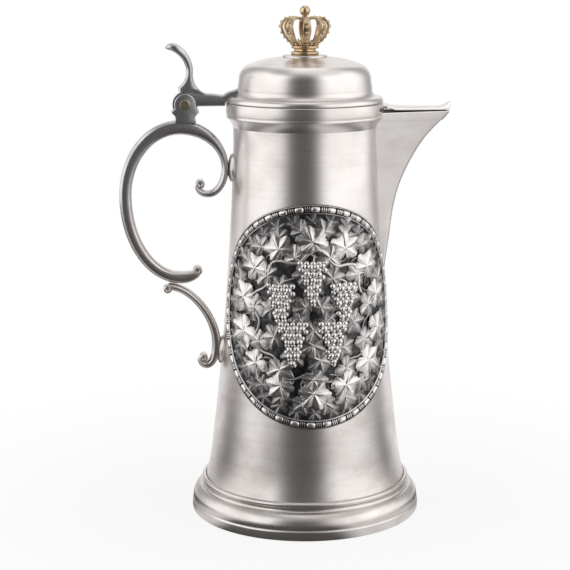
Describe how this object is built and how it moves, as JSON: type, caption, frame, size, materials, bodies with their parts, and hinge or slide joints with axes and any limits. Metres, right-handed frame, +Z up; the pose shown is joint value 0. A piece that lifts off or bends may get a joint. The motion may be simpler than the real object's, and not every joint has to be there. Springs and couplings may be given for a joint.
{
  "type": "lidded serving jug",
  "caption": "Tall tapered metal jug with a hinged domed lid, thumb lever, covered beak spout, scroll handle and an oval relief medallion.",
  "frame": {"origin": "centre of the foot on the resting plane", "axes": "+Z up along the jug's axis, +X towards the spout, the handle on -X, the medallion faces -Y"},
  "size_m": [0.2337, 0.1642, 0.3599],
  "materials": {
    "satin_silver": "satin silver plate with fine turning lines",
    "oxidised_silver": "oxidised silver relief, dark in the hollows and rubbed bright on top",
    "cast_silver": "cast silver plate, toned grey, polished on the edges",
    "gilt": "antique gilding with brown hollows",
    "pin_brass": "dull brass"
  },
  "bodies": {
    "jug": {"body_wall": "satin_silver", "foot_ring": "satin_silver", "foot_bead": "satin_silver", "base_plate": "satin_silver", "rim_band": "satin_silver", "spout": "satin_silver", "spout_rim": "satin_silver", "medallion_plate": "oxidised_silver", "medallion_relief": "oxidised_silver", "medallion_border": "oxidised_silver", "handle_scroll": "cast_silver", "lower_scroll": "cast_silver", "upper_pad": "cast_silver", "lower_pad": "cast_silver", "hinge_bracket": "cast_silver", "hinge_pin": "pin_brass"},
    "lid": {"lid_dome": "satin_silver", "lid_flange": "satin_silver", "lid_bezel": "satin_silver", "spout_cover": "satin_silver", "thumb_lever": "cast_silver", "finial_seat": "satin_silver", "crown_circlet": "gilt", "crown_leaves": "gilt", "crown_arches": "gilt", "crown_collar": "gilt", "crown_orb": "gilt", "finial_stud": "pin_brass", "finial_washer": "pin_brass", "finial_nut": "pin_brass"}
  },
  "joints": [
    {"name": "lid_hinge", "type": "hinge", "parent": "jug", "child": "lid", "pos_m": [-0.0837, 0, 0.2925], "axis": [0, -1, 0], "range_deg": [0, 85]}
  ]
}
